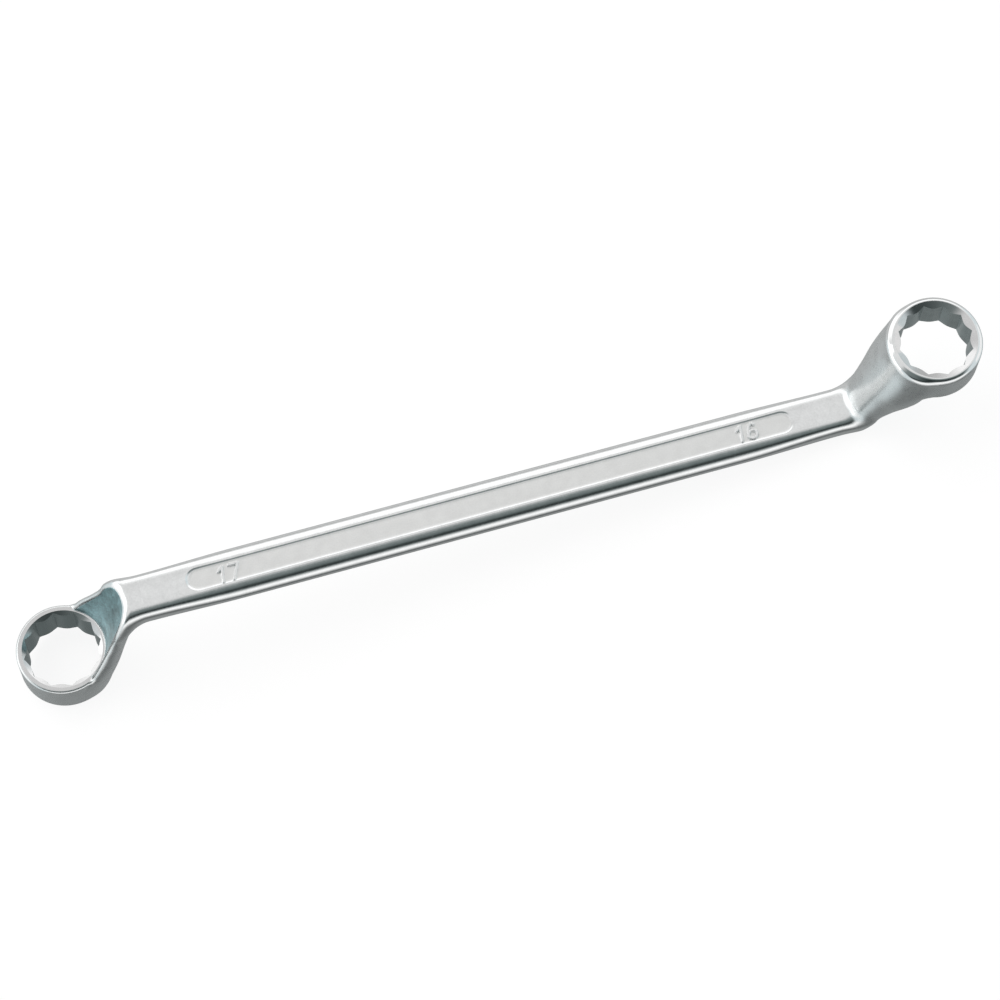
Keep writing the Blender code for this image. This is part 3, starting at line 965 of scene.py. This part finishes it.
# %% Bench
HALF_FLOOR = 3.0
WHITE_FLOOR = 1.08
SHADOW_DEPTH = 0.20
PALE_GREY = (0.90, 0.90, 0.90, 1)
BENCH_ROUGHNESS = 0.9

floor_mesh = bpy.data.meshes.new("bench")
corner_signs = ((-1, -1), (1, -1), (1, 1), (-1, 1))
corners = [(x * HALF_FLOOR, y * HALF_FLOOR, 0) for x, y in corner_signs]
floor_mesh.from_pydata(corners, [], [(0, 1, 2, 3)])
floor = bpy.data.objects.new("bench", floor_mesh)
bpy.context.scene.collection.objects.link(floor)
pale = bpy.data.materials.new("pale_bench")
pale.use_nodes = True
tree = pale.node_tree
paper = tree.nodes["Principled BSDF"]
paper.inputs["Base Color"].default_value = PALE_GREY
paper.inputs["Roughness"].default_value = BENCH_ROUGHNESS
start = Wire(tree)
by_camera = start.node("ShaderNodeLightPath", output="Is Camera Ray") * (1 - SHADOW_DEPTH)
white = start.node("ShaderNodeEmission", {}, {"Color": (1, 1, 1, 1), "Strength": WHITE_FLOOR})
lit_paper = Wire(tree, paper.outputs[0])
seen = start.node("ShaderNodeMixShader", {}, {0: by_camera, 1: lit_paper, 2: white})
tree.links.new(seen.output, tree.nodes["Material Output"].inputs["Surface"])
floor_mesh.materials.append(pale)
floor.visible_glossy = False
print("bench", 2 * HALF_FLOOR, "m wide, shadow", SHADOW_DEPTH, "deep")

# %% [markdown]
# The world behind everything is white to the camera and to the metal, and gives a dimmer, even
# light to everything else, so that no surface is lit beyond its own colour.

# %% World
AMBIENT = 0.55

world = bpy.data.worlds.new("studio")
bpy.context.scene.world = world
world.use_nodes = True
tree = world.node_tree
tree.nodes.clear()
start = Wire(tree)
seen = start.node("ShaderNodeLightPath", output="Is Camera Ray")
seen = seen + start.node("ShaderNodeLightPath", output="Is Glossy Ray")
seen = seen + start.node("ShaderNodeLightPath", output="Is Transmission Ray")
strength = AMBIENT + seen * (1 - AMBIENT)
sky = start.node("ShaderNodeBackground", {}, {"Color": (1, 1, 1, 1), "Strength": strength})
world_output = tree.nodes.new("ShaderNodeOutputWorld")
tree.links.new(sky.output, world_output.inputs["Surface"])
print("even light of strength", AMBIENT)

# %% [markdown]
# Round the tool stands a light tent of cloth, which only the metal sees.  Lamps alone would leave
# chrome black between their small mirror images, and a photographer hangs cloth for that reason.
# The tent is a wide cylinder round the X axis.  How bright its cloth is follows the angle round
# that axis: 0 is the horizon behind the tool, 90 is overhead, and 180 the horizon in front.  It
# is bright low behind the tool and in front of it, dim below, and has one black strip high over
# the front, which gives the shank its dark line.  Dim cloth is faintly blue, and towards its open
# ends the cloth bleaches out.

# %% Light tent
TENT_RADIUS = 1.1
TENT_HALF_LENGTH = 2.6
TENT_BLEACH_STARTS = 0.90
TENT_BLEACH_ENDS = 1.60
TENT_STEPS = 96
TENT_GLOW = 1.4
CLOTH_TINT = 0.78
PALE_CLOTH_TINT = 0.92
TINT_ENDS_AT = 0.6
BLEACHED = (0.73, 0.80, 0.82)
TENT_SHADES = (
    (-180, 1.15), (-170, 0.90), (-160, 0.58), (-150, 0.30), (-140, 0.14), (-130, 0.15),
    (-112, 0.30), (-80, 0.32), (-66, 0.40), (-45, 0.46), (-16, 0.66), (-4, 0.50), (4, 0.56),
    (10, 0.90), (17, 1.30), (35, 1.25), (43, 0.86), (52, 0.76), (72, 0.82), (98, 0.80),
    (104, 0.50), (111, 0.24), (122, 0.18), (129, 0.09), (134, 0.03), (141, 0.03), (146, 0.11),
    (154, 0.46), (163, 0.95), (172, 1.15), (180, 1.15),
)

print("tent", 2 * TENT_HALF_LENGTH, "m long, with", len(TENT_SHADES), "shades round it")

# %% The tent's cloth as a mesh
points = []
faces = []
for step in range(TENT_STEPS):
    turn = 2 * math.pi * step / TENT_STEPS
    for x in (-TENT_HALF_LENGTH, TENT_HALF_LENGTH):
        points.append((x, TENT_RADIUS * math.cos(turn), TENT_RADIUS * math.sin(turn)))
    after = (2 * step + 2) % (2 * TENT_STEPS)
    faces.append((2 * step, 2 * step + 1, after + 1, after))
tent_mesh = bpy.data.meshes.new("light_tent")
tent_mesh.from_pydata(points, [], faces)
tent = bpy.data.objects.new("light_tent", tent_mesh)
bpy.context.scene.collection.objects.link(tent)
tent.visible_camera = False
tent.visible_diffuse = False
tent.visible_shadow = False
print("tent faces:", len(faces))

# %% The tent's shades
cloth = bpy.data.materials.new("tent_cloth")
cloth.use_nodes = True
tree = cloth.node_tree
tree.nodes.clear()
start = Wire(tree)
place = start.node("ShaderNodeTexCoord", output="Object")
parts = start.node("ShaderNodeSeparateXYZ", {}, {0: place})
side, along_y, along_z = (Wire(tree, parts.output.node.outputs[axis]) for axis in "XYZ")
around = start.math('ARCTAN2', along_z, along_y) * (0.5 / math.pi) + 0.5
stops = []
for angle, grey in TENT_SHADES:
    tint = CLOTH_TINT if angle > 90 else PALE_CLOTH_TINT
    red = grey * min(tint + (1 - tint) * grey / TINT_ENDS_AT, 1)
    colour = (red / TENT_GLOW, grey / TENT_GLOW, grey / TENT_GLOW)
    stops.append((0.5 + angle / 360, colour))
shade = start.node("ShaderNodeValToRGB", {"stops": stops}, {"Fac": around})
faded = start.clear_to_full(start.math('ABSOLUTE', side), TENT_BLEACH_STARTS, TENT_BLEACH_ENDS)
bleached = (*(value / TENT_GLOW for value in BLEACHED), 1)
mixed = {"Factor": faded, 6: shade, 7: bleached}
shade = start.node("ShaderNodeMix", {"data_type": 'RGBA'}, mixed, output=2)
glow = start.node("ShaderNodeEmission", {}, {"Color": shade, "Strength": TENT_GLOW})
tent_output = tree.nodes.new("ShaderNodeOutputMaterial")
tree.links.new(glow.output, tent_output.inputs["Surface"])
tent_mesh.materials.append(cloth)
print("cloth bleaches out between", TENT_BLEACH_STARTS, "and", TENT_BLEACH_ENDS, "m")

# %% [markdown]
# Two white cards stand at the 17 mm end, and again only the metal sees them.  The upright one
# lights the band between the hollow and the crown of the 17 mm neck, and the leaning one lights
# the crease where the 16 mm neck leaves the shank.  A hard edge would be mirrored as a line, so
# both thin out towards the top, and the leaning one towards its near side too.

# %% White cards at the 17 mm end
UPRIGHT_CARD = (
    (-1.35, -0.35, 0.30),
    (-1.35, 0.80, 0.30),
    (-1.35, 0.80, 1.00),
    (-1.35, -0.35, 1.00),
)
LEANING_CARD = (
    (-1.33, -0.20, 0.05),
    (-1.33, 1.09, 0.05),
    (-0.75, 1.09, 1.04),
    (-0.75, 0.43, 1.04),
)
UPRIGHT_SIDE = -0.50
LEANING_SIDE = 0.43
CARD_TOP = 1.04
THIN_TOP = 0.24
THIN_SIDE = 0.17
SIDE_SLANT = 0.65
CARD_GLOW = 1.5


def white_card(name, corners, side):
    """A lit card that only the metal sees, clear at its top and in front of a slanting line."""
    card_mesh = bpy.data.meshes.new(name)
    card_mesh.from_pydata(corners, [], [(0, 1, 2, 3)])
    card = bpy.data.objects.new(name, card_mesh)
    bpy.context.scene.collection.objects.link(card)
    paper = bpy.data.materials.new(name)
    paper.use_nodes = True
    tree = paper.node_tree
    tree.nodes.clear()
    start = Wire(tree)
    place = start.node("ShaderNodeTexCoord", output="Object")
    parts = start.node("ShaderNodeSeparateXYZ", {}, {0: place})
    along_y, along_z = (Wire(tree, parts.output.node.outputs[axis]) for axis in "YZ")
    below_top = CARD_TOP - along_z
    inward = along_y + below_top * SIDE_SLANT
    from_side = start.clear_to_full(inward, side, side + THIN_SIDE)
    thickness = from_side * start.clear_to_full(below_top, 0, THIN_TOP)
    glow = start.node("ShaderNodeEmission", {}, {"Color": (1, 1, 1, 1), "Strength": CARD_GLOW})
    clear_air = start.node("ShaderNodeBsdfTransparent")
    seen = start.node("ShaderNodeMixShader", {}, {0: thickness, 1: clear_air, 2: glow})
    card_output = tree.nodes.new("ShaderNodeOutputMaterial")
    tree.links.new(seen.output, card_output.inputs["Surface"])
    card_mesh.materials.append(paper)
    card.visible_camera = False
    card.visible_diffuse = False
    card.visible_shadow = False
    print(name, "glows with", CARD_GLOW)


white_card("upright_card", UPRIGHT_CARD, UPRIGHT_SIDE)
white_card("leaning_card", LEANING_CARD, LEANING_SIDE)

# %% [markdown]
# One big soft lamp hangs behind the tool and above it.  The metal doesn't mirror it: it is there
# for the tool's shadow on the bench.

# %% Lamp
LAMP_WATTS = 6.0
LAMP_SIZE = 1.0
LAMP_PLACE = (-0.3, 0.4, 1.2)

lamp_data = bpy.data.lights.new("soft_lamp", 'AREA')
lamp_data.size = LAMP_SIZE
lamp_data.energy = LAMP_WATTS
lamp = bpy.data.objects.new("soft_lamp", lamp_data)
bpy.context.scene.collection.objects.link(lamp)
lamp.location = LAMP_PLACE
lamp.rotation_euler = (-lamp.location).to_track_quat('-Z', 'Y').to_euler()
lamp.visible_glossy = False
print("lamp of", LAMP_WATTS, "watts at", LAMP_PLACE)

# %% [markdown]
# Last, the view transform stays plain, so that white is white and each colour renders about as
# written.

# %% Finish with a plain view transform
bpy.context.scene.view_settings.view_transform = 'Standard'
